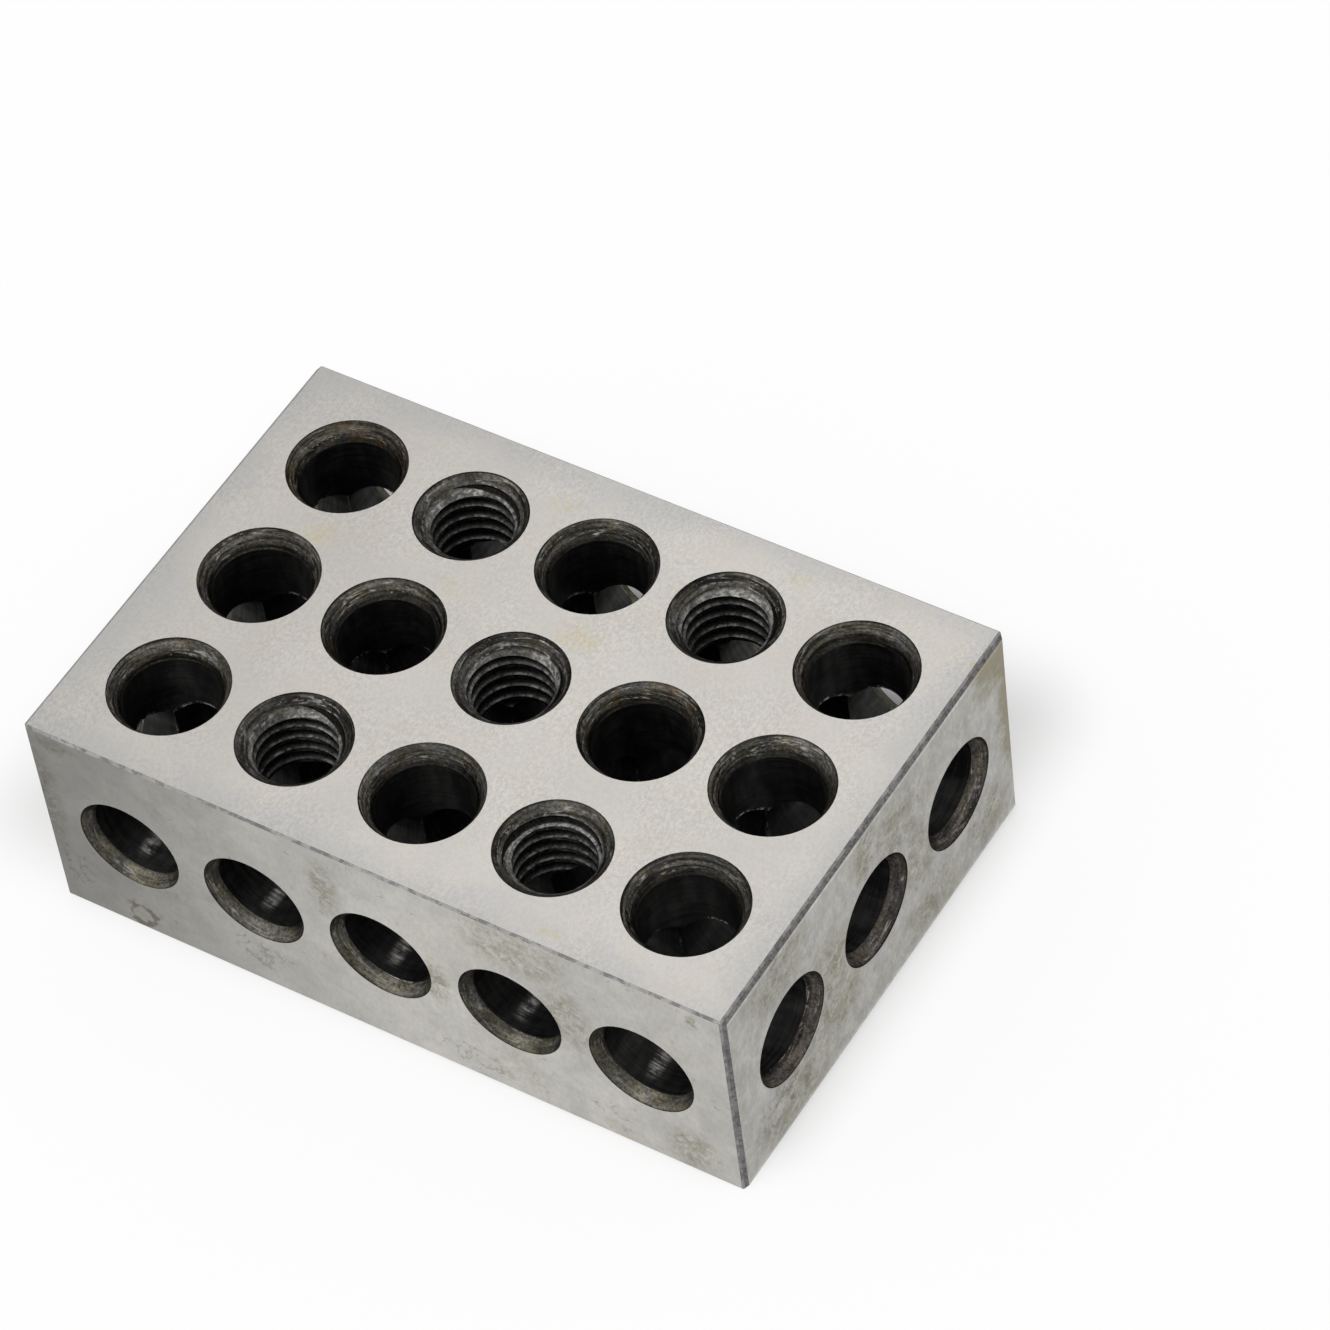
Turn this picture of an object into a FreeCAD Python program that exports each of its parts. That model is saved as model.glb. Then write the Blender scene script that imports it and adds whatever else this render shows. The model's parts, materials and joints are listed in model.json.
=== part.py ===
"""A machinist's setup block: one piece of hardened and ground steel, 1 x 2 x 3 inches.

Plain and tapped holes go through it in all three directions. Their axes lie on one grid,
so that the holes meet at mid-height, inside the block.

The origin is the centre of the bottom face: X runs along the 3 in side, Y along the 2 in
side and Z up the 1 in side. All sizes are in millimetres.
"""

import FreeCAD, Part
import os

from FreeCAD import Vector

INCH = 25.4

# The block
LENGTH = 3 * INCH
WIDTH = 2 * INCH
HEIGHT = 1 * INCH
END_CHAMFER = 0.5  # on the edges of the two ends
LONG_CHAMFER = 0.25  # on the four edges that run along X

# The grid that the holes lie on, centred on the block
COLUMNS = 5
ROWS = 3
COLUMN_PITCH = 14.1
ROW_PITCH = 15.3

# The holes. Plain ones take a 3/8 in bolt; tapped ones are drilled for a 3/8-16 thread.
BORE_DIAMETER = 3 / 8 * INCH
TAP_DIAMETER = 5 / 16 * INCH
# The places of the tapped holes, as (column, row), in the form of the five on a die
TAPPED_PLACES = [(1, 0), (3, 0), (2, 1), (1, 2), (3, 2)]

# The countersink at each mouth: its width at the face and its depth
BORE_SINK_DIAMETER = 11.95
BORE_SINK_DEPTH = 1.8
TAP_SINK_DIAMETER = 11.3
TAP_SINK_DEPTH = 1.65
LONG_SIDE_SINK_DIAMETER = 11.1
LONG_SIDE_SINK_DEPTH = 1.35
END_SINK_DIAMETER = 11.4
END_SINK_DEPTH = 1.35

# How far a cutting tool runs past the face that it starts from
OVERRUN = 1.0

X_AXIS = Vector(1, 0, 0)
Y_AXIS = Vector(0, 1, 0)
Z_AXIS = Vector(0, 0, 1)


def grid(count, pitch):
    """The places of a row of holes, centred on zero."""
    return [(i - (count - 1) / 2) * pitch for i in range(count)]


def clipped_bar(across, up, along, width, height, length, chamfer):
    """A bar centred on the origin, its four long edges chamfered.

    across, up and along are its directions, and width, height and length its sizes in them.
    """
    w, h = width / 2, height / 2
    outline = [
        (w - chamfer, -h),
        (w, chamfer - h),
        (w, h - chamfer),
        (w - chamfer, h),
        (chamfer - w, h),
        (-w, h - chamfer),
        (-w, chamfer - h),
        (chamfer - w, -h),
    ]
    points = [across * a + up * b - along * (length / 2) for a, b in outline]
    profile = Part.Face(Part.makePolygon(points + points[:1]))
    return profile.extrude(along * length)


def blank():
    """The ground block, before drilling: what three bars, one each way, have in common."""
    bar_z = clipped_bar(X_AXIS, Y_AXIS, Z_AXIS, LENGTH, WIDTH, HEIGHT, END_CHAMFER)
    bar_y = clipped_bar(Z_AXIS, X_AXIS, Y_AXIS, HEIGHT, LENGTH, WIDTH, END_CHAMFER)
    bar_x = clipped_bar(Y_AXIS, Z_AXIS, X_AXIS, WIDTH, HEIGHT, LENGTH, LONG_CHAMFER)
    return bar_z.common(bar_y).common(bar_x)


def hole(centre, axis, side, length, diameter, sink_diameter, sink_depth):
    """The form that a hole takes out: a bore right through, countersunk at both mouths.

    The hole runs along axis and is length long from face to face, with centre halfway.
    side is any direction across it.
    """
    bore, mouth, end = diameter / 2, sink_diameter / 2, length / 2
    half = [
        (bore, end - sink_depth),
        (mouth, end),
        (mouth, end + OVERRUN),
        (0, end + OVERRUN),
    ]
    outline = half + [(r, -t) for r, t in reversed(half)]
    points = [centre + side * r + axis * t for r, t in outline]
    profile = Part.Face(Part.makePolygon(points + points[:1]))
    return profile.revolve(centre, axis, 360)


def holes():
    """All the holes: through the 1 in side, then the 2 in side, then the 3 in side."""
    made = []
    for column, x in enumerate(grid(COLUMNS, COLUMN_PITCH)):
        for row, y in enumerate(grid(ROWS, ROW_PITCH)):
            tapped = (column, row) in TAPPED_PLACES
            sizes = (
                (TAP_DIAMETER, TAP_SINK_DIAMETER, TAP_SINK_DEPTH)
                if tapped
                else (BORE_DIAMETER, BORE_SINK_DIAMETER, BORE_SINK_DEPTH)
            )
            made.append(hole(Vector(x, y, 0), Z_AXIS, X_AXIS, HEIGHT, *sizes))
    side_sizes = (BORE_DIAMETER, LONG_SIDE_SINK_DIAMETER, LONG_SIDE_SINK_DEPTH)
    for x in grid(COLUMNS, COLUMN_PITCH):
        made.append(hole(Vector(x, 0, 0), Y_AXIS, Z_AXIS, WIDTH, *side_sizes))
    end_sizes = (BORE_DIAMETER, END_SINK_DIAMETER, END_SINK_DEPTH)
    for y in grid(ROWS, ROW_PITCH):
        made.append(hole(Vector(0, y, 0), X_AXIS, Y_AXIS, LENGTH, *end_sizes))
    return made


def setup_block():
    """The whole block, standing on the plane Z = 0."""
    block = blank().cut(holes())
    block.translate(Z_AXIS * (HEIGHT / 2))
    return block


os.makedirs("parts", exist_ok=True)
setup_block().exportStep("parts/setup_block.step")
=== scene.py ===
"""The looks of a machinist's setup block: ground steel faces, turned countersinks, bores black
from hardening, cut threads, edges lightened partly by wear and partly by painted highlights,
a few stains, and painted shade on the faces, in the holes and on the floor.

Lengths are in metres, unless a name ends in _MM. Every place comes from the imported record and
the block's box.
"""

import json
import math

import bmesh
import bpy
import numpy as np
from mathutils import Matrix, Vector

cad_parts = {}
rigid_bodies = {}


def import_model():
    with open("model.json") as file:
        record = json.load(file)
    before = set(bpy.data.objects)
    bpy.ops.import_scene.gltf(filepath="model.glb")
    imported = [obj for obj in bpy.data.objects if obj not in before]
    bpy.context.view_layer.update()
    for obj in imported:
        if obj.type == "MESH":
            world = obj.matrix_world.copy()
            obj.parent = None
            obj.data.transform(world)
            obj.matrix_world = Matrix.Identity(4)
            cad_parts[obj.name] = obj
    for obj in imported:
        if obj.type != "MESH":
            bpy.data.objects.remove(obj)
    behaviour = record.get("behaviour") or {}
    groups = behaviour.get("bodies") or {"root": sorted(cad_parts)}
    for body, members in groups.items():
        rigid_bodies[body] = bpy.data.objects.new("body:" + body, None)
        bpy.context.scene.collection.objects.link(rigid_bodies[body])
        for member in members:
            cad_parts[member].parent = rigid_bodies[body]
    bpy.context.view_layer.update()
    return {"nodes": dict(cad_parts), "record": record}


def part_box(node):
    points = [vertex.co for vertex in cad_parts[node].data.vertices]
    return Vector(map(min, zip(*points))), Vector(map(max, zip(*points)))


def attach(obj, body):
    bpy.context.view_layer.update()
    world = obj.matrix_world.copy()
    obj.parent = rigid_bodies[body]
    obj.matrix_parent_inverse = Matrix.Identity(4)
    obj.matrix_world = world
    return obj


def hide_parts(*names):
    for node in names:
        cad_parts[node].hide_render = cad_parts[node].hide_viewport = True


MM = 0.001
NODE = "setup_block"

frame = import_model()

# ---------------------------------------------------------------- sizes from the frame

MOUNTS = {m["name"]: m for m in frame["record"]["mounts"]}
LOW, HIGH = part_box(NODE)
MIDDLE = (LOW + HIGH) / 2

COLUMN_PITCH = MOUNTS["tapped_corners"]["dims"]["spacing_x_mm"] * MM / 2
ROW_PITCH = MOUNTS["tapped_corners"]["dims"]["spacing_y_mm"] * MM / 2
BORE_RADIUS = MOUNTS["plain_corners"]["dims"]["hole_r_mm"] * MM
TAP_RADIUS = MOUNTS["tapped_corners"]["dims"]["hole_r_mm"] * MM

COLUMN_XS = [i * COLUMN_PITCH for i in (-2, -1, 0, 1, 2)]
ROW_YS = [i * ROW_PITCH for i in (-1, 0, 1)]
# for each tapped hole, its column and row from the middle, and where its thread starts, in turns
TAPPED_AT = [(-1, -1, 0.18), (1, -1, 0.89), (0, 0, 0.35), (-1, 1, 0.11), (1, 1, 0.31)]
TAPPED_CENTRES = [(c * COLUMN_PITCH, r * ROW_PITCH) for c, r, _ in TAPPED_AT]

# ---------------------------------------------------------------- the thread

# A 3/8-16 thread. Its grooves end in a flat an eighth of the pitch wide, between 60 degree flanks.
THREAD_PITCH = 25.4 * MM / 16
THREAD_MAJOR_RADIUS = 9.525 * MM / 2
THREAD_ROOT_FLAT = THREAD_PITCH / 8
FLANK_SLOPE = math.tan(math.radians(30))
THREAD_STEPS = 80  # around one turn
TURNS_BELOW = 2  # whole turns of the cutter that stand below the block
CUTTER_CORE_RADIUS = TAP_RADIUS - 0.15 * MM  # inside the bore, so that it cuts nothing


def groove_half_width(radius):
    """Half the width of a thread groove at a radius."""
    return THREAD_ROOT_FLAT / 2 + (THREAD_MAJOR_RADIUS - radius) * FLANK_SLOPE


def thread_cutter(name, centre, start):
    """A screw that cuts one thread: a right-hand ridge on a core, standing past both faces."""
    root, base = THREAD_ROOT_FLAT / 2, groove_half_width(CUTTER_CORE_RADIUS)
    section = [
        (-base, CUTTER_CORE_RADIUS),
        (-root, THREAD_MAJOR_RADIUS),
        (root, THREAD_MAJOR_RADIUS),
        (base, CUTTER_CORE_RADIUS),
    ]
    turns = math.ceil((HIGH.z - LOW.z) / THREAD_PITCH) + TURNS_BELOW + 1
    first = LOW.z + (start - TURNS_BELOW) * THREAD_PITCH
    made = bmesh.new()
    columns = []
    for step in range(THREAD_STEPS):
        angle = 2 * math.pi * step / THREAD_STEPS
        rise = THREAD_PITCH * step / THREAD_STEPS
        column = []
        for turn in range(turns + 1):
            for offset, radius in section:
                z = first + turn * THREAD_PITCH + rise + offset
                x = centre[0] + radius * math.cos(angle)
                y = centre[1] + radius * math.sin(angle)
                column.append(made.verts.new((x, y, z)))
        columns.append(column)
    # the last column joins the first one a turn further up
    shift = len(section)
    height = len(columns[0]) - shift
    for step, column in enumerate(columns):
        last = step == THREAD_STEPS - 1
        beside = columns[0][shift:] if last else columns[step + 1]
        for i in range(height - 1):
            made.faces.new((column[i], beside[i], beside[i + 1], column[i + 1]))
    lower = [column[0] for column in columns] + columns[0][1:shift + 1][::-1]
    upper = [column[height - 1] for column in columns]
    upper += columns[0][height:height + shift][::-1]
    made.faces.new(lower[::-1])
    made.faces.new(upper)
    bmesh.ops.recalc_face_normals(made, faces=made.faces)
    mesh = bpy.data.meshes.new(name)
    made.to_mesh(mesh)
    made.free()
    cutter = bpy.data.objects.new(name, mesh)
    bpy.context.scene.collection.objects.link(cutter)
    return cutter


# ---------------------------------------------------------------- the block

FINISHES = ["top", "long_side", "end", "chamfer", "sink_z", "sink_tapped", "sink_y", "sink_x"]
FINISHES += ["bore_z", "bore_y", "bore_x", "thread"]
SHARP_ANGLE = math.radians(24)
MERGE_GAP = 0.001 * MM
SKIN = 0.01 * MM  # how near a ground face's plane its triangles lie
SQUARE_ON = 0.999  # how squarely they face
HOLE_REACH = 6.2 * MM  # wider than any countersink
SINK_REACH = 2 * MM  # deeper than any countersink
WALL_SLACK = 0.1 * MM  # how far a bore's flat facets may lie from its radius
WALL_TILT = 0.1  # a bore's wall faces along its axis less than this, and a countersink more
MOST_TWIST = 0.2  # how far to one side of its hole's axis a face may point
LEAST_INWARD = 0.3  # how directly it has to point at the axis
FLANK_RISE = 0.8  # a thread's flank faces further up or down than a countersink does


def plain_mesh(source, name):
    """A copy of a mesh with its doubled vertices merged and nothing but its shape kept."""
    made = bmesh.new()
    made.from_mesh(source)
    bmesh.ops.remove_doubles(made, verts=made.verts, dist=MERGE_GAP)
    made.verts.index_update()
    mesh = bpy.data.meshes.new(name)
    corners = [[v.index for v in face.verts] for face in made.faces]
    mesh.from_pydata([v.co for v in made.verts], [], corners)
    made.free()
    return mesh


def threaded_mesh():
    """The CAD solid as one closed mesh, with the threads cut into its tapped holes."""
    rough = bpy.data.objects.new("rough", plain_mesh(frame["nodes"][NODE].data, "rough"))
    bpy.context.scene.collection.objects.link(rough)
    cutters = bpy.data.collections.new("cutters")
    for centre, (_, _, start) in zip(TAPPED_CENTRES, TAPPED_AT):
        cutters.objects.link(thread_cutter("cutter", centre, start))
    cut = rough.modifiers.new("threads", "BOOLEAN")
    cut.operation, cut.solver = "DIFFERENCE", "MANIFOLD"
    cut.operand_type, cut.collection = "COLLECTION", cutters
    graph = bpy.context.evaluated_depsgraph_get()
    mesh = plain_mesh(bpy.data.meshes.new_from_object(rough.evaluated_get(graph)), "block")
    for spare in [*cutters.objects, rough]:
        bpy.data.objects.remove(spare)
    bpy.data.collections.remove(cutters)
    return mesh


def off_grid(places, centres):
    """How far each place is from the nearest of the centres, with its sign."""
    gaps = places[:, None] - np.array(centres)[None, :]
    return gaps[np.arange(len(places)), np.abs(gaps).argmin(1)]


def face_kinds(mesh):
    """Each face's finish, as its place in FINISHES, from where it is and which way it faces."""
    count = len(mesh.polygons)
    centres, normals = np.zeros(count * 3), np.zeros(count * 3)
    mesh.polygons.foreach_get("center", centres)
    mesh.polygons.foreach_get("normal", normals)
    centres, normals = centres.reshape(-1, 3), normals.reshape(-1, 3)
    depths = np.minimum(centres - np.array(LOW), np.array(HIGH) - centres)
    kinds = np.full(count, FINISHES.index("chamfer"))
    for axis, name in enumerate(["end", "long_side", "top"]):
        flat = (np.abs(normals[:, axis]) > SQUARE_ON) & (depths[:, axis] < SKIN)
        kinds[flat] = FINISHES.index(name)
    in_holes = kinds == FINISHES.index("chamfer")
    off_x, off_y = off_grid(centres[:, 0], COLUMN_XS), off_grid(centres[:, 1], ROW_YS)
    off_z = centres[:, 2] - MIDDLE.z
    best_twist = np.full(count, MOST_TWIST)
    for axis, name, first, second, across, up in [
        (2, "z", 0, 1, off_x, off_y),
        (1, "y", 0, 2, off_x, off_z),
        (0, "x", 1, 2, off_y, off_z),
    ]:
        radius = np.maximum(np.hypot(across, up), SKIN)
        inward = -(normals[:, first] * across + normals[:, second] * up) / radius
        twist = np.abs(normals[:, first] * up - normals[:, second] * across) / radius
        tilt = np.abs(normals[:, axis])
        near = in_holes & (radius < HOLE_REACH) & (inward > LEAST_INWARD) & (twist < best_twist)
        wall = near & (tilt < WALL_TILT) & (np.abs(radius - BORE_RADIUS) < WALL_SLACK)
        cone = near & (tilt >= WALL_TILT) & (tilt < FLANK_RISE) & (depths[:, axis] < SINK_REACH)
        best_twist = np.where(wall | cone, twist, best_twist)
        kinds[wall], kinds[cone] = FINISHES.index("bore_" + name), FINISHES.index("sink_" + name)
    not_thread = ["top", "sink_z", "sink_y", "sink_x", "bore_y", "bore_x"]
    keeps = [FINISHES.index(name) for name in not_thread]
    for x, y in TAPPED_CENTRES:
        radius = np.hypot(centres[:, 0] - x, centres[:, 1] - y)
        cut = (radius < THREAD_MAJOR_RADIUS + 0.02 * MM) & ~np.isin(kinds, keeps)
        kinds[cut] = FINISHES.index("thread")
        mouth = (radius < HOLE_REACH) & (kinds == FINISHES.index("sink_z"))
        kinds[mouth] = FINISHES.index("sink_tapped")
    return kinds


# ---------------------------------------------------------------- building shaders


class Shader:
    """A material's node tree. Each method adds nodes and returns an output socket."""

    def __init__(self, name):
        self.material = bpy.data.materials.new(name)
        self.material.use_nodes = True
        self.nodes, self.links = self.material.node_tree.nodes, self.material.node_tree.links
        self.nodes.clear()
        place = self.node("TexCoord").outputs["Object"]
        self.mm = self.vector("SCALE", place, scale=1 / MM)
        split = self.node("SeparateXYZ", {"Vector": self.mm})
        self.x, self.y, self.z = split.outputs

    def node(self, kind, inputs=(), **settings):
        made = self.nodes.new("ShaderNode" + kind)
        for name, value in settings.items():
            setattr(made, name, value)
        for name, value in dict(inputs).items():
            self.put(made.inputs[name], value)
        return made

    def put(self, socket, value):
        if isinstance(value, bpy.types.NodeSocket):
            self.links.new(value, socket)
        else:
            socket.default_value = value

    def math(self, operation, *values):
        return self.node("Math", enumerate(values), operation=operation).outputs[0]

    def product(self, *values):
        total = values[0]
        for value in values[1:]:
            total = self.math("MULTIPLY", total, value)
        return total

    def vector(self, operation, first, second=None, scale=None):
        made = self.node("VectorMath", {0: first}, operation=operation)
        if second is not None:
            self.put(made.inputs[1], second)
        if scale is not None:
            self.put(made.inputs["Scale"], scale)
        return made.outputs["Value" if operation in ("LENGTH", "DISTANCE") else "Vector"]

    def join(self, x, y, z):
        return self.node("CombineXYZ", {"X": x, "Y": y, "Z": z}).outputs[0]

    def noise(self, place, scale, detail=2.0, roughness=0.5, distortion=0.0):
        """Soft noise around 0.5, with its features about 1 / scale mm across."""
        inputs = {"Vector": place, "Scale": scale, "Detail": detail, "Roughness": roughness}
        inputs["Distortion"] = distortion
        return self.node("TexNoise", inputs).outputs["Fac"]

    def ramp(self, value, low, high, to_low=0.0, to_high=1.0):
        """value, eased from low..high to to_low..to_high and held there outside."""
        names = ["Value", "From Min", "From Max", "To Min", "To Max"]
        inputs = dict(zip(names, [value, low, high, to_low, to_high]))
        return self.node("MapRange", inputs, interpolation_type="SMOOTHSTEP").outputs[0]

    def mix(self, amount, first, second, blend="MIX"):
        """Two colours mixed."""
        made = self.node("Mix", data_type="RGBA", blend_type=blend)
        for name, value in [("Factor_Float", amount), ("A_Color", first), ("B_Color", second)]:
            self.put(next(s for s in made.inputs if s.identifier == name), value)
        return next(s for s in made.outputs if s.identifier == "Result_Color")

    def wrapped(self, value, pitch):
        """How far value is from the nearest multiple of the pitch."""
        return self.math("WRAP", value, pitch / 2, -pitch / 2)

    def bump(self, height, distance, strength):
        inputs = {"Height": height, "Distance": distance, "Strength": strength}
        return self.node("Bump", inputs).outputs[0]

    def finish(self, color, roughness, normal, grazing=1.0):
        """The steel itself. grazing says how much of its gloss at flat angles it keeps."""
        inputs = {"Base Color": color, "Roughness": roughness, "Normal": normal, "Metallic": 1.0}
        inputs["Specular Tint"] = (grazing, grazing, grazing, 1.0)
        made = self.node("BsdfPrincipled", inputs)
        self.links.new(made.outputs[0], self.node("OutputMaterial").inputs[0])
        return self.material


# ---------------------------------------------------------------- finishes

HALF = (HIGH - LOW) / 2 / MM  # half the block's length, width and height, in mm
MID_Z, TOP_Z = MIDDLE.z / MM, HIGH.z / MM
PITCH_X, PITCH_Y = COLUMN_PITCH / MM, ROW_PITCH / MM
BORE_R, TAP_R = BORE_RADIUS / MM, TAP_RADIUS / MM
THREAD_R = THREAD_MAJOR_RADIUS / MM
DARK_STEEL_GRAZING = 0.45

WARM, PLAIN, COOL = (1.05, 1.0, 0.925), (1.035, 1.0, 0.95), (1.025, 1.0, 0.975)
RUST, YELLOW = (1.0, 0.72, 0.45), (1.0, 0.96, 0.80)
BLACKED = (1.0, 1.0, 0.97)  # steel left dark by hardening


def color(tint, value=1.0):
    return (tint[0] * value, tint[1] * value, tint[2] * value, 1.0)


def patches(s, places):
    """Soft patches, each of a centre and half sizes in mm, and a strength."""
    total = None
    for centre, half_size, strength in places:
        away = s.vector("DIVIDE", s.vector("SUBTRACT", s.mm, centre), half_size)
        inside = s.ramp(s.vector("LENGTH", away), 1.0, 0.25, 0.0, strength)
        total = inside if total is None else s.math("MAXIMUM", total, inside)
    return total


def shifted(s, seed):
    """The place, moved to a part of the noise of its own."""
    return s.vector("ADD", s.mm, (seed, seed * 0.7, -seed))


def speckled(s, where, scale, low, high, seed=0.0):
    """Where a patch shows, broken up by noise: from 0 to 1."""
    noise = s.noise(shifted(s, seed), scale, 4.0, 0.65)
    return s.ramp(s.math("ADD", noise, where), low, high)


def mottled(s, where, scale, seed, low=0.36, high=0.64):
    """A patch broken up into smears of every strength."""
    noise = s.noise(shifted(s, seed), scale, 7.0, 0.72, 1.2)
    return s.math("MULTIPLY", where, s.ramp(noise, low, high))


def tinted(s, base, layers):
    """base, multiplied in turn by each layer's colour as far as the layer shows."""
    for amount, tint in layers:
        base = s.mix(amount, base, tint, "MULTIPLY")
    return base


def shaded(s, base, shades):
    """base, made lighter or darker by the product of the shades."""
    return s.vector("SCALE", base, scale=s.product(*shades))


def top_finish():
    """The ground top and bottom: a fine sandy grain, duller along the block's edges, and painted
    shade that darkens them towards the left end.
    """
    s = Shader("ground_top")
    grain = s.noise(s.vector("MULTIPLY", s.mm, (1.0, 0.7, 1.0)), 2.8, 2.0, 0.6)
    sand = s.noise(s.mm, 6.5, 2.0, 0.6)
    broad = s.noise(s.mm, 0.11, 4.0, 0.6)
    strong = s.noise(s.vector("ADD", s.mm, (7.0, 50.0, 0.0)), 0.12, 2.0, 0.5)
    hue = s.noise(s.vector("ADD", s.mm, (40.0, 0.0, 9.0)), 0.3, 3.0, 0.6)
    edge_x = s.math("SUBTRACT", HALF.x, s.math("ABSOLUTE", s.x))
    edge_y = s.math("SUBTRACT", HALF.y, s.math("ABSOLUTE", s.y))
    edge = s.math("MINIMUM", edge_x, edge_y)
    cool = s.ramp(s.math("ADD", edge, s.ramp(broad, 0.3, 0.7, -3.0, 3.0)), 1.0, 5.0, 1.0, 0.0)
    yellow = speckled(s, patches(s, [
        ((-25.5, 7.0, TOP_Z), (3.2, 2.6, 3.0), 0.3),
        ((3.0, 6.8, TOP_Z), (4.0, 2.4, 3.0), 0.32),
        ((-7.0, 20.5, TOP_Z), (3.0, 2.4, 3.0), 0.24),
        ((-11.0, 7.0, TOP_Z), (2.6, 2.0, 3.0), 0.24),
        ((18.3, 22.3, TOP_Z), (2.2, 2.0, 3.0), 0.24),
        ((19.0, -23.5, TOP_Z), (2.6, 1.4, 3.0), 0.24),
        ((37.8, 20.6, TOP_Z), (0.9, 0.8, 2.0), 0.8),
    ]), 0.9, 0.6, 0.95)
    base = s.mix(s.ramp(hue, 0.35, 0.65), color(WARM, 0.55), color(PLAIN, 0.55))
    base = s.mix(s.math("MULTIPLY", cool, 0.8), base, color(COOL, 0.535))
    base = tinted(s, base, [(yellow, color(YELLOW))])
    amount = s.ramp(strong, 0.35, 0.65, 0.6, 1.4)
    coarse = s.ramp(grain, 0.3, 0.7, -0.065, 0.065)
    rough_grain = s.math("ADD", coarse, s.ramp(sand, 0.3, 0.7, -0.05, 0.05))
    base = shaded(s, base, [
        s.math("ADD", s.math("MULTIPLY", rough_grain, amount), 1.0),
        s.ramp(broad, 0.3, 0.7, 0.97, 1.03),
        # painted shade: darker towards the left end, lighter towards the right
        s.ramp(s.x, -40.0, 12.0, 0.9, 1.06),
        s.ramp(edge, 0.0, 4.0, 0.93, 1.0),
    ])
    normal = s.bump(grain, 0.02 * MM, 0.5)
    return s.finish(base, s.ramp(grain, 0.3, 0.7, 0.38, 0.48), normal)


def scuffs(s, seed, low, high):
    """Fine pitted blotches, as on steel that was handled with oily hands."""
    wide = s.noise(s.vector("ADD", s.mm, (seed, 3.0, seed)), 0.16, 3.0, 0.6)
    fine = s.noise(s.vector("ADD", s.mm, (seed, seed, 5.0)), 1.1, 5.0, 0.75)
    return s.ramp(s.math("ADD", fine, s.ramp(wide, 0.35, 0.7, -0.12, 0.12)), low, high)


def long_side_finish():
    """The long sides: smoother, with faint blotches and a few old stains; darker than the top partly
    as painted shade, and painted shade darkens them towards the left end.
    """
    s = Shader("ground_long_side")
    front = -HALF.y
    grain = s.noise(s.vector("MULTIPLY", s.mm, (1.0, 1.0, 0.5)), 2.4, 3.0, 0.65)
    broad = s.noise(s.mm, 0.09, 3.0, 0.6)
    clouds = s.noise(s.vector("ADD", s.mm, (9.0, 0.0, 2.0)), 0.24, 5.0, 0.65, 0.8)
    blotch = scuffs(s, 11.0, 0.52, 0.72)
    pits = s.ramp(s.noise(s.vector("ADD", s.mm, (3.0, 8.0, 1.0)), 1.7, 4.0, 0.7), 0.62, 0.74)
    soiled = patches(s, [
        ((-5.3, front, 19.8), (2.4, 3.0, 5.4), 1.0),
        ((6.1, front, 12.6), (2.0, 3.0, 4.6), 1.0),
        ((20.6, front, 15.5), (4.0, 3.0, 6.5), 0.9),
        ((15.5, front, 22.4), (8.5, 3.0, 5.0), 0.8),
        ((32.6, front, 3.2), (4.0, 3.0, 4.2), 0.9),
        ((-37.3, front, 15.5), (2.6, 3.0, 11.0), 0.9),
        ((34.6, front, 23.6), (1.0, 3.0, 1.4), 1.0),
        ((-34.5, front, 23.8), (3.6, 3.0, 1.5), 0.8),
        ((14.0, front, 4.5), (4.0, 3.0, 4.0), 0.35),
    ])
    stains = mottled(s, soiled, 0.8, 7.0)
    specks = mottled(s, soiled, 2.2, 27.0, 0.5, 0.7)
    cracks = s.noise(s.vector("ADD", s.mm, (21.0, 4.0, 2.0)), 0.55, 3.0, 0.6)
    cracks = s.ramp(s.math("ABSOLUTE", s.math("SUBTRACT", cracks, 0.5)), 0.004, 0.04, 0.8, 0.0)
    cracks = s.math("MULTIPLY", cracks, speckled(s, patches(s, [
        ((-14.5, front, 4.2), (4.5, 3.0, 3.4), 0.3),
        ((9.0, front, 2.6), (6.0, 3.0, 2.4), 0.26),
        ((24.0, front, 3.4), (5.0, 3.0, 3.0), 0.2),
        ((-35.5, front, 6.0), (3.0, 3.0, 4.0), 0.3),
    ]), 0.8, 0.55, 0.75, seed=23.0))
    # the outline of a dried drop near the lower left corner
    away = s.vector("LENGTH", s.vector("SUBTRACT", s.mm, (-28.6, front, 2.0)))
    ring = s.math("ABSOLUTE", s.math("SUBTRACT", away, 1.35))
    wobble = s.noise(s.mm, 0.8, 3.0, 0.6)
    ring = s.ramp(s.math("ADD", ring, s.ramp(wobble, 0.3, 0.7, -0.45, 0.45)), 0.2, 0.65, 1.0, 0.0)
    # darker than the top's steel, partly as painted shade
    pale, warm = color((1.02, 1.0, 0.94), 0.465), color((1.03, 1.0, 0.93), 0.455)
    base = s.mix(s.ramp(broad, 0.35, 0.65), pale, warm)
    base = tinted(s, base, [
        (s.math("MULTIPLY", blotch, 0.6), color((0.93, 0.92, 0.85))),
        (s.math("MULTIPLY", pits, 0.5), color((0.84, 0.83, 0.76))),
        (stains, color((0.60, 0.59, 0.50))),
        (specks, color((0.55, 0.53, 0.43))),
        (cracks, color((0.6, 0.59, 0.54))),
        (ring, color((0.52, 0.49, 0.40))),
    ])
    base = shaded(s, base, [
        s.ramp(grain, 0.3, 0.7, 0.93, 1.07),
        s.ramp(broad, 0.3, 0.7, 0.91, 1.09),
        s.ramp(clouds, 0.3, 0.7, 0.91, 1.06),
        # painted shade: much darker towards the left end, a little darker at the right end
        s.ramp(s.x, -44.0, 4.0, 0.47, 1.1),
        s.ramp(s.x, 12.0, 38.0, 1.0, 0.96),
    ])
    return s.finish(base, s.ramp(grain, 0.3, 0.7, 0.42, 0.5), s.bump(blotch, 0.01 * MM, 0.4))


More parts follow.
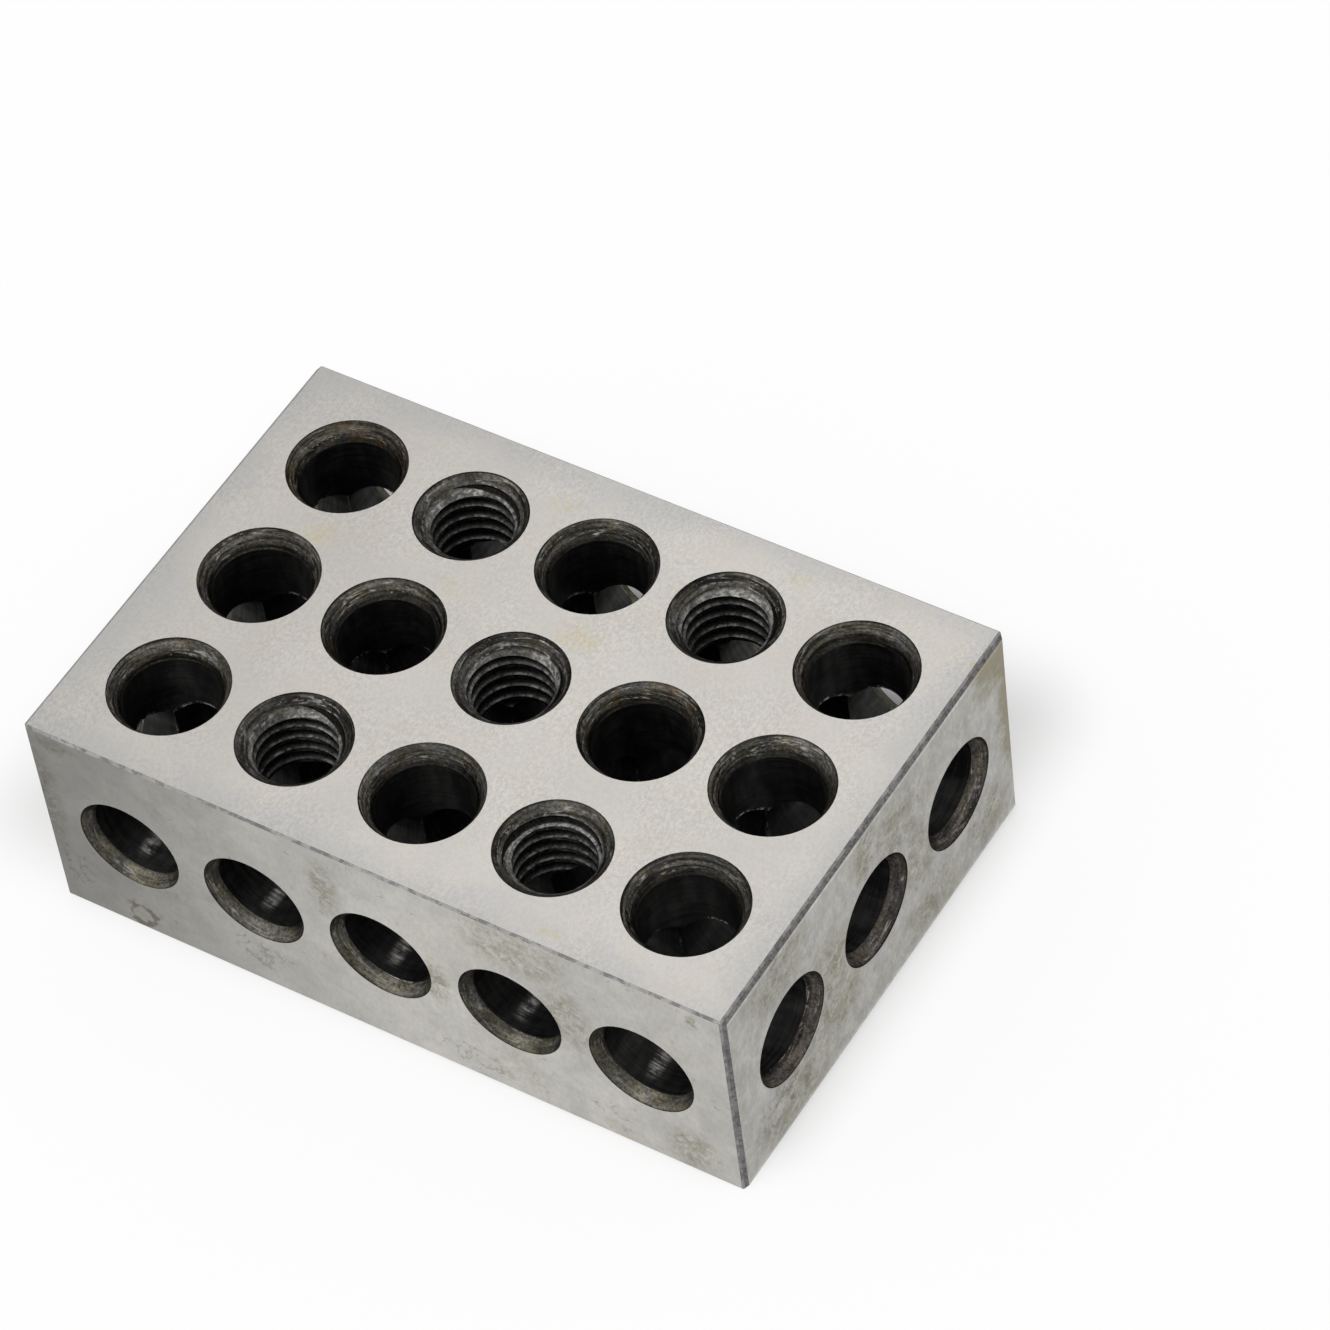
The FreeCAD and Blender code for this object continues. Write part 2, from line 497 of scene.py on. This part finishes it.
def end_finish():
    """The ends: darker than the top partly as painted shade, and mottled with oil stains that have
    gone brown.
    """
    s = Shader("ground_end")
    right = HALF.x
    grain = s.noise(s.vector("MULTIPLY", s.mm, (1.0, 1.0, 0.6)), 2.0, 4.0, 0.7)
    broad = s.noise(s.vector("ADD", s.mm, (0.0, 21.0, 4.0)), 0.12, 3.0, 0.6)
    smear = s.noise(s.vector("MULTIPLY", s.mm, (1.0, 0.55, 0.35)), 1.0, 4.0, 0.7)
    blotch = scuffs(s, 31.0, 0.47, 0.67)
    soiled = patches(s, [
        ((right, -16.5, 22.0), (4.0, 8.0, 5.5), 0.8),
        ((right, -7.8, 13.0), (4.0, 4.5, 8.0), 0.9),
        ((right, -16.5, 4.4), (4.0, 9.5, 5.5), 1.0),
        ((right, -8.5, 7.0), (4.0, 7.0, 5.0), 1.0),
        ((right, -1.0, 22.0), (4.0, 3.4, 5.0), 1.0),
        ((right, 5.0, 19.5), (4.0, 8.0, 6.5), 0.8),
        ((right, 7.6, 12.0), (4.0, 4.4, 8.5), 0.8),
        ((right, 9.0, 4.0), (4.0, 7.0, 4.6), 0.8),
        ((right, 19.5, 4.6), (4.0, 5.6, 4.6), 0.9),
    ])
    olive = mottled(s, soiled, 0.35, 13.0)
    specks = mottled(s, soiled, 1.1, 43.0, 0.46, 0.66)
    rust = s.math("MAXIMUM", s.math("SUBTRACT", patches(s, [
        ((right, 26.0, 26.0), (4.0, 11.0, 10.0), 2.0),
        ((right, 26.5, 15.0), (4.0, 5.2, 14.0), 2.0),
    ]), s.ramp(s.noise(s.mm, 0.8, 4.0, 0.7), 0.3, 0.7, 0.0, 1.0)), 0.0)
    brown = s.math("MULTIPLY", s.math("MINIMUM", rust, 1.0), s.ramp(smear, 0.3, 0.6, 0.5, 1.0))
    # darker than the top's steel, partly as painted shade
    warm, pale = color((1.02, 1.0, 0.93), 0.43), color((1.02, 1.0, 0.955), 0.42)
    base = s.mix(s.ramp(broad, 0.35, 0.65), warm, pale)
    base = tinted(s, base, [
        (s.math("MULTIPLY", blotch, 0.6), color((0.86, 0.85, 0.77))),
        (olive, color((0.66, 0.645, 0.54))),
        (specks, color((0.56, 0.54, 0.46))),
        (brown, color((0.62, 0.57, 0.41))),
    ])
    rim = s.math("SUBTRACT", HALF.z, s.math("ABSOLUTE", s.math("SUBTRACT", s.z, MID_Z)))
    base = shaded(s, base, [
        s.ramp(grain, 0.3, 0.7, 0.88, 1.12),
        s.ramp(smear, 0.3, 0.7, 0.86, 1.12),
        # a thin bright line just inside the top and bottom edges, partly wear and partly a painted
        # highlight
        s.ramp(s.math("ABSOLUTE", s.math("SUBTRACT", rim, 0.75)), 0.0, 0.25, 1.3, 1.0),
    ])
    return s.finish(base, s.ramp(grain, 0.3, 0.7, 0.42, 0.52), s.bump(blotch, 0.012 * MM, 0.5))


def chamfer_finish():
    """The broken edges: dull violet gray with ticks across. The long ones are nearly rubbed away."""
    s = Shader("chamfer")
    ticks = s.noise(s.mm, 2.6, 3.0, 0.7)
    dashes = s.noise(s.mm, 0.9, 3.0, 0.7)
    broad = s.noise(s.mm, 0.35, 2.0, 0.5)
    tick, between = color((1.04, 0.97, 1.02), 0.095), color((1.04, 0.98, 1.01), 0.18)
    dash, rubbed = color((1.0, 0.99, 0.96), 0.16), color((1.02, 1.0, 0.96), 0.27)
    dark = s.mix(s.ramp(ticks, 0.36, 0.6), tick, between)
    faint = s.mix(s.ramp(dashes, 0.42, 0.56), dash, rubbed)
    from_end = s.math("SUBTRACT", HALF.x, s.math("ABSOLUTE", s.x))
    base = s.mix(s.ramp(from_end, 0.24, 0.36), dark, faint)
    base = shaded(s, base, [s.ramp(broad, 0.3, 0.7, 0.85, 1.15)])
    return s.finish(base, 0.4, s.bump(ticks, 0.02 * MM, 0.5))


class Hole:
    """Where a point is in its hole, whose axis is x, y or z. Lengths are in mm."""

    def __init__(self, s, axis):
        self.s = s
        if axis == "z":
            across, up = s.wrapped(s.x, PITCH_X), s.wrapped(s.y, PITCH_Y)
            self.along, half = s.math("SUBTRACT", s.z, MID_Z), HALF.z
        elif axis == "y":
            across, up = s.wrapped(s.x, PITCH_X), s.math("SUBTRACT", s.z, MID_Z)
            self.along, half = s.y, HALF.y
        else:
            across, up = s.wrapped(s.y, PITCH_Y), s.math("SUBTRACT", s.z, MID_Z)
            self.along, half = s.x, HALF.x
        offset = s.join(across, up, 0.0)
        self.radius = s.vector("LENGTH", offset)
        self.out = s.node("SeparateXYZ", {"Vector": s.vector("NORMALIZE", offset)}).outputs
        self.depth = s.math("SUBTRACT", half, s.math("ABSOLUTE", self.along))
        # a value of its own for each hole and each of its two mouths
        own_x = s.math("SUBTRACT", s.y if axis == "x" else s.x, across)
        own_y = s.math("SUBTRACT", s.y, up) if axis == "z" else 0.0
        own = s.join(own_x, own_y, s.math("SIGN", self.along))
        self.own = s.vector("MULTIPLY", own, (1.37, 1.71, 5.3))

    def turned(self, around, along, detail=3.0, roughness=0.6, seed=0.0):
        """Noise drawn out round the hole: its features are around mm long and along mm deep."""
        s = self.s
        place = s.join(
            s.math("MULTIPLY", self.out[0], BORE_R / around),
            s.math("MULTIPLY", self.out[1], BORE_R / around),
            s.math("DIVIDE", self.along, along),
        )
        shift = s.vector("ADD", self.own, (seed, seed, 0.0))
        return s.noise(s.vector("ADD", place, shift), 1.0, detail, roughness)

    def lines(self, spacing, width, seed):
        """Thin lines that wander round the hole, about a spacing apart: 1 on a line, 0 between."""
        s = self.s
        level = self.turned(6.0, spacing, 1.0, 0.5, seed)
        return s.ramp(s.math("ABSOLUTE", s.math("SUBTRACT", level, 0.5)), 0.0, width, 1.0, 0.0)


def crossing(s, axis):
    """How far a point is from the walls of the bores that cross a hole of this axis, in mm."""
    up = s.math("SUBTRACT", s.z, MID_Z)
    walls = {
        "x": s.join(s.wrapped(s.y, PITCH_Y), up, 0.0),
        "y": s.join(s.wrapped(s.x, PITCH_X), up, 0.0),
        "z": s.join(s.wrapped(s.x, PITCH_X), s.wrapped(s.y, PITCH_Y), 0.0),
    }
    nearest = None
    for name, offset in walls.items():
        if name == axis:
            continue
        gap = s.math("ABSOLUTE", s.math("SUBTRACT", s.vector("LENGTH", offset), BORE_R))
        nearest = gap if nearest is None else s.math("MINIMUM", nearest, gap)
    return nearest


def countersink_finish(name, axis, reach, ringed, tint, mouth_value, deep_value, fleck_value):
    """A countersink: dark from hardening, with the rings that its cutter left rubbed into flecks.

    Below its reach, in mm, it is as dark as the bore. ringed says how strongly its rings show.
    """
    s = Shader(name)
    hole = Hole(s, axis)
    bands = hole.turned(9.0, 0.3, 2.0, 0.5)
    patchy = hole.turned(2.2, 0.8, 3.0, 0.65, 12.0)
    flecks = s.ramp(hole.turned(0.6, 0.25, 3.0, 0.65, 4.0), 0.4, 0.64)
    worn = s.ramp(hole.turned(3.0, 1.2, 2.0, 0.5, 8.0), 0.38, 0.6, 0.1, 1.0)
    below_lip = s.ramp(hole.depth, 0.1, 0.22)
    above_bore = s.ramp(hole.depth, reach, reach + 0.3, 1.0, 0.0)
    rings = s.product(hole.lines(0.55, 0.05, 30.0), flecks, worn)
    sparse = s.ramp(hole.turned(0.4, 0.2, 2.0, 0.6, 16.0), 0.6, 0.75, 0.0, 0.6)
    bright = s.product(s.math("MAXIMUM", rings, s.product(sparse, worn)), below_lip, above_bore)
    dust = s.noise(s.mm, 3.0, 4.0, 0.75)
    hues = s.noise(s.mm, 0.5, 3.0, 0.6)
    brown = color((tint[0] * 1.05, tint[1], tint[2] * 0.84))
    base = s.mix(s.ramp(hues, 0.4, 0.6), color(tint), brown)
    base = shaded(s, base, [
        s.ramp(hole.depth, reach - 0.5, reach + 0.2, mouth_value, deep_value),
        s.ramp(bands, 0.36, 0.64, 1.0 - ringed, 1.0 + ringed),
        s.ramp(patchy, 0.3, 0.7, 0.6, 1.4),
        s.ramp(dust, 0.3, 0.7, 0.5, 1.5),
        # painted shade of the steep lip: darker in a thin band just below the mouth
        s.ramp(hole.depth, 0.05, 0.16, 0.5, 1.0),
    ])
    # painted shade: the countersinks in the long sides are darker on their left
    if axis == "y":
        base = shaded(s, base, [s.ramp(hole.out[0], -0.8, -0.1, 0.6, 1.0)])
    base = s.mix(bright, base, color(tint, fleck_value))
    if name == "countersink_tapped":
        # a painted highlight along its lower edge, where the thread starts
        edge = s.product(
            s.ramp(hole.depth, 1.0, 1.25),
            s.ramp(flecks, 0.0, 1.0, 0.3, 1.0),
            s.ramp(hole.turned(5.0, 5.0, 1.0, 0.5, 33.0), 0.4, 0.56, 0.25, 1.0),
        )
        base = s.mix(edge, base, color(tint, 0.34))
    if name == "countersink_z":
        rust = speckled(s, patches(s, [
            ((-2 * PITCH_X, PITCH_Y, TOP_Z), (7.0, 8.0, 3.0), 0.35),
        ]), 0.7, 0.5, 0.8, seed=17.0)
        base = tinted(s, base, [(rust, color(RUST, 1.15))])
    rough = s.ramp(bands, 0.3, 0.7, 0.4, 0.54)
    relief = s.math("ADD", bands, s.math("MULTIPLY", flecks, 0.5))
    normal = s.bump(relief, 0.05 * MM * ringed / 0.6, 0.7)
    return s.finish(base, rough, normal, DARK_STEEL_GRAZING)


def bore_finish(axis):
    """A drilled bore: near black, with faint tool marks, and painted glints broken into specks where
    bores cross.
    """
    s = Shader("bore_" + axis)
    hole = Hole(s, axis)
    marks = hole.turned(1.2, 3.5, 3.0, 0.6)
    rings = hole.turned(4.0, 0.3, 3.0, 0.6, 6.0)
    # painted glints along the edges where bores cross, broken into specks, fullest in the upright
    # bores
    glint_specks = s.ramp(hole.turned(0.6, 0.6, 3.0, 0.7, 2.0), 0.44, 0.6)
    worn = s.ramp(hole.turned(5.0, 5.0, 1.0, 0.5, 9.0), 0.5, 0.6, 0.0, 1.0 if axis == "z" else 0.25)
    crossing_glint = s.ramp(crossing(s, axis), 0.1, 0.4, 1.0, 0.0)
    crossing_glint = s.product(crossing_glint, glint_specks, worn)
    base = s.mix(s.ramp(marks, 0.35, 0.7), color((1.0, 1.0, 0.98), 0.035), color(BLACKED, 0.065))
    base = shaded(s, base, [s.ramp(rings, 0.3, 0.7, 0.7, 1.3)])
    base = s.mix(crossing_glint, base, color(PLAIN, 0.9))
    if axis == "y":
        # a painted highlight in a streak along the bottom
        aside = s.math("ABSOLUTE", s.math("ADD", hole.out[0], 0.22))
        bottom_highlight = s.product(
            s.ramp(aside, 0.2, 0.02),
            s.math("LESS_THAN", hole.out[1], 0.0),
            s.ramp(rings, 0.36, 0.64, 0.1, 1.0),
            s.ramp(hole.turned(0.7, 0.7, 3.0, 0.7, 21.0), 0.35, 0.6, 0.2, 1.0),
            s.ramp(hole.depth, 2.0, 3.6),
        )
        base = s.mix(bottom_highlight, base, color(PLAIN, 0.8))
    normal = s.bump(rings, 0.03 * MM, 0.5)
    return s.finish(base, s.ramp(rings, 0.3, 0.7, 0.5, 0.6), normal, DARK_STEEL_GRAZING)


def thread_finish():
    """The threads: valleys darkened by painted shade, and crests lightened in places, partly as wear
    and partly as painted highlights, most at the first one.
    """
    s = Shader("thread")
    hole = Hole(s, "z")
    glint_specks = s.ramp(hole.turned(0.7, 0.3, 3.0, 0.7), 0.38, 0.66)
    crest_wear_and_highlight = s.ramp(hole.turned(4.0, 1.5, 3.0, 0.6, 4.0), 0.35, 0.65, 0.3, 1.0)
    dust = s.noise(s.mm, 3.0, 4.0, 0.75)
    crest = s.ramp(hole.radius, TAP_R + 0.3, TAP_R + 0.06, 0.0, 1.0)
    first_crest = s.ramp(hole.radius, TAP_R + 0.34, TAP_R + 0.16, 0.0, 1.0)
    first = s.ramp(hole.depth, 1.9, 2.7, 1.0, 0.0)
    # the crests, lightened partly as wear and partly as a painted highlight
    rubbed = s.product(crest, glint_specks, crest_wear_and_highlight)
    # painted shade: darker towards the valleys
    painted_valley_shade = s.ramp(hole.radius, TAP_R, THREAD_R - 0.25)
    base = s.mix(painted_valley_shade, color(PLAIN, 0.03), color(PLAIN, 0.008))
    base = shaded(s, base, [s.ramp(dust, 0.3, 0.7, 0.3, 1.7)])
    base = s.mix(rubbed, base, color(BLACKED, 0.2))
    # the first crest below the mouth, lightened more, partly as wear and partly as a painted
    # highlight
    start = s.product(first_crest, first, s.ramp(glint_specks, 0.0, 1.0, 0.2, 1.0))
    base = s.mix(start, base, color(BLACKED, 0.25))
    return s.finish(base, 0.45, s.bump(dust, 0.05 * MM, 0.6), DARK_STEEL_GRAZING)


def materials():
    """The material of each of FINISHES, in that order."""
    made = {
        "top": top_finish(),
        "long_side": long_side_finish(),
        "end": end_finish(),
        "chamfer": chamfer_finish(),
        "sink_z": countersink_finish(
            "countersink_z", "z", reach=1.25, ringed=0.6, tint=(1.02, 1.0, 0.93),
            mouth_value=0.085, deep_value=0.024, fleck_value=0.42,
        ),
        "sink_tapped": countersink_finish(
            "countersink_tapped", "z", reach=1.2, ringed=0.6, tint=(1.03, 1.0, 0.95),
            mouth_value=0.055, deep_value=0.03, fleck_value=0.34,
        ),
        "sink_y": countersink_finish(
            "countersink_y", "y", reach=1.3, ringed=0.25, tint=(1.05, 1.0, 0.88),
            mouth_value=0.115, deep_value=0.07, fleck_value=0.24,
        ),
        "sink_x": countersink_finish(
            "countersink_x", "x", reach=1.3, ringed=0.4, tint=(1.07, 0.98, 0.93),
            mouth_value=0.062, deep_value=0.036, fleck_value=0.26,
        ),
        "bore_z": bore_finish("z"),
        "bore_y": bore_finish("y"),
        "bore_x": bore_finish("x"),
        "thread": thread_finish(),
    }
    return [made[name] for name in FINISHES]


# ---------------------------------------------------------------- camera, light and floor

CAMERA_AZIMUTH = math.radians(37.4395)  # of the way it looks, from +Y towards -X
CAMERA_DROP = math.radians(49.5002)  # how far below level it looks
CAMERA_ROLL = math.radians(-8.2146)
CAMERA_DISTANCE = 588.16 * MM
CAMERA_AIM = Vector((5.418 * MM, 16.404 * MM, MIDDLE.z))  # the middle of the picture
LENS, SENSOR = 167.457, 36.0
KEY_PLACE = MIDDLE + Vector((-0.5, -0.8, 1.1))
KEY_SIZE, KEY_POWER = 0.9, 4
WORLD_LIGHT = 0.85  # how bright the world is as light, where what is seen of it is 1
FLOOR_SIZE = 6
FLOOR_GLOW = 0.9  # how much of the floor's white is its own
GLOW_MARGIN_MM = 12.0  # how far from the block the glow comes in full
SHADE_MARGIN_MM = 4.0  # how far inside the hidden strip the painted shadow stays dark
SHADE_END_MM = 11.0  # how far behind the block the painted shadow ends


def add_camera():
    ahead = Vector((-math.sin(CAMERA_AZIMUTH), math.cos(CAMERA_AZIMUTH), 0))
    forward = ahead * math.cos(CAMERA_DROP) - Vector((0, 0, math.sin(CAMERA_DROP)))
    right = Vector((math.cos(CAMERA_AZIMUTH), math.sin(CAMERA_AZIMUTH), 0))
    up = right.cross(forward)
    turned_right = right * math.cos(CAMERA_ROLL) + up * math.sin(CAMERA_ROLL)
    turned_up = turned_right.cross(forward)
    data = bpy.data.cameras.new("camera")
    data.lens, data.sensor_width, data.clip_start, data.clip_end = LENS, SENSOR, 0.01, 20
    camera = bpy.data.objects.new("camera", data)
    axes = Matrix((turned_right, turned_up, -forward)).transposed()
    camera.matrix_world = Matrix.Translation(CAMERA_AIM - forward * CAMERA_DISTANCE) @ axes.to_4x4()
    bpy.context.scene.collection.objects.link(camera)
    bpy.context.scene.camera = camera


def add_lamp(name, place, size, power):
    """A square soft lamp that faces the block."""
    data = bpy.data.lights.new(name, "AREA")
    data.shape, data.size, data.energy = "SQUARE", size, power
    lamp = bpy.data.objects.new(name, data)
    lamp.location = place
    lamp.rotation_euler = (MIDDLE - Vector(place)).to_track_quat("-Z", "Y").to_euler()
    bpy.context.scene.collection.objects.link(lamp)


def shown_rays(nodes, links):
    """1 for what the camera sees straight, in gloss or through glass, and 0 for light."""
    path = nodes.new("ShaderNodeLightPath")
    total = path.outputs["Is Camera Ray"]
    for kind in ["Is Glossy Ray", "Is Transmission Ray"]:
        joined = nodes.new("ShaderNodeMath")
        joined.operation = "MAXIMUM"
        links.new(total, joined.inputs[0])
        links.new(path.outputs[kind], joined.inputs[1])
        total = joined.outputs[0]
    return total


def add_world():
    world = bpy.data.worlds.new("studio")
    world.use_nodes = True
    bpy.context.scene.world = world
    nodes, links = world.node_tree.nodes, world.node_tree.links
    back = nodes["Background"]
    back.inputs["Color"].default_value = (1, 1, 1, 1)
    strength = nodes.new("ShaderNodeMapRange")
    strength.inputs["To Min"].default_value = WORLD_LIGHT
    strength.inputs["To Max"].default_value = 1.0
    links.new(shown_rays(nodes, links), strength.inputs["Value"])
    links.new(strength.outputs[0], back.inputs["Strength"])


def outside(s, centre, half_size):
    """How far a place on the floor is outside a box, in mm."""
    away = s.vector("ABSOLUTE", s.vector("SUBTRACT", s.mm, centre))
    away = s.vector("MAXIMUM", s.vector("SUBTRACT", away, half_size), (0.0, 0.0, 0.0))
    return s.vector("LENGTH", away)


def add_floor():
    """A white floor. Under the block, and where the block hides it, it is matte, darkened there by a
    painted shadow.
    """
    bpy.ops.mesh.primitive_plane_add(size=FLOOR_SIZE, location=(0, 0, LOW.z))
    floor = bpy.context.object
    floor.name = "floor"
    s = Shader("floor")
    ahead = Vector((-math.sin(CAMERA_AZIMUTH), math.cos(CAMERA_AZIMUTH), 0))
    hidden = ahead * (HIGH.z - LOW.z) / math.tan(CAMERA_DROP) / MM
    away = outside(s, hidden / 2, (HALF.x, HALF.y, 0.0))
    clear = s.ramp(away, 0.0, GLOW_MARGIN_MM, 0.0, FLOOR_GLOW)
    inner = (HALF.x - SHADE_MARGIN_MM, HALF.y - SHADE_MARGIN_MM, 0.0)
    painted_floor_shadow = s.math(
        "MAXIMUM",
        s.ramp(outside(s, hidden, inner), 0.0, SHADE_MARGIN_MM),
        s.ramp(s.y, HALF.y + SHADE_MARGIN_MM, HALF.y + SHADE_END_MM),
    )
    painted_floor_shadow = s.ramp(painted_floor_shadow, 0.0, 1.0, 0.3, 0.95)
    matte = s.node("BsdfDiffuse", {"Color": s.join(painted_floor_shadow, painted_floor_shadow, painted_floor_shadow)}).outputs[0]
    glow = s.node("Emission", {"Color": (1, 1, 1, 1)}).outputs[0]
    amount = s.math("MULTIPLY", clear, shown_rays(s.nodes, s.links))
    blend = s.node("MixShader", {0: amount, 1: matte, 2: glow}).outputs[0]
    s.node("OutputMaterial", {0: blend})
    floor.data.materials.append(s.material)


# ---------------------------------------------------------------- the scene

mesh = threaded_mesh()
for material in materials():
    mesh.materials.append(material)
mesh.polygons.foreach_set("material_index", face_kinds(mesh).astype(np.int32))
mesh.shade_smooth()
mesh.set_sharp_from_angle(angle=SHARP_ANGLE)
mesh.update()
block = bpy.data.objects.new("block", mesh)
bpy.context.scene.collection.objects.link(block)
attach(block, "root")
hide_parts(NODE)

add_camera()
add_world()
add_floor()
add_lamp("key", KEY_PLACE, KEY_SIZE, KEY_POWER)
bpy.context.scene.view_settings.view_transform = "Standard"
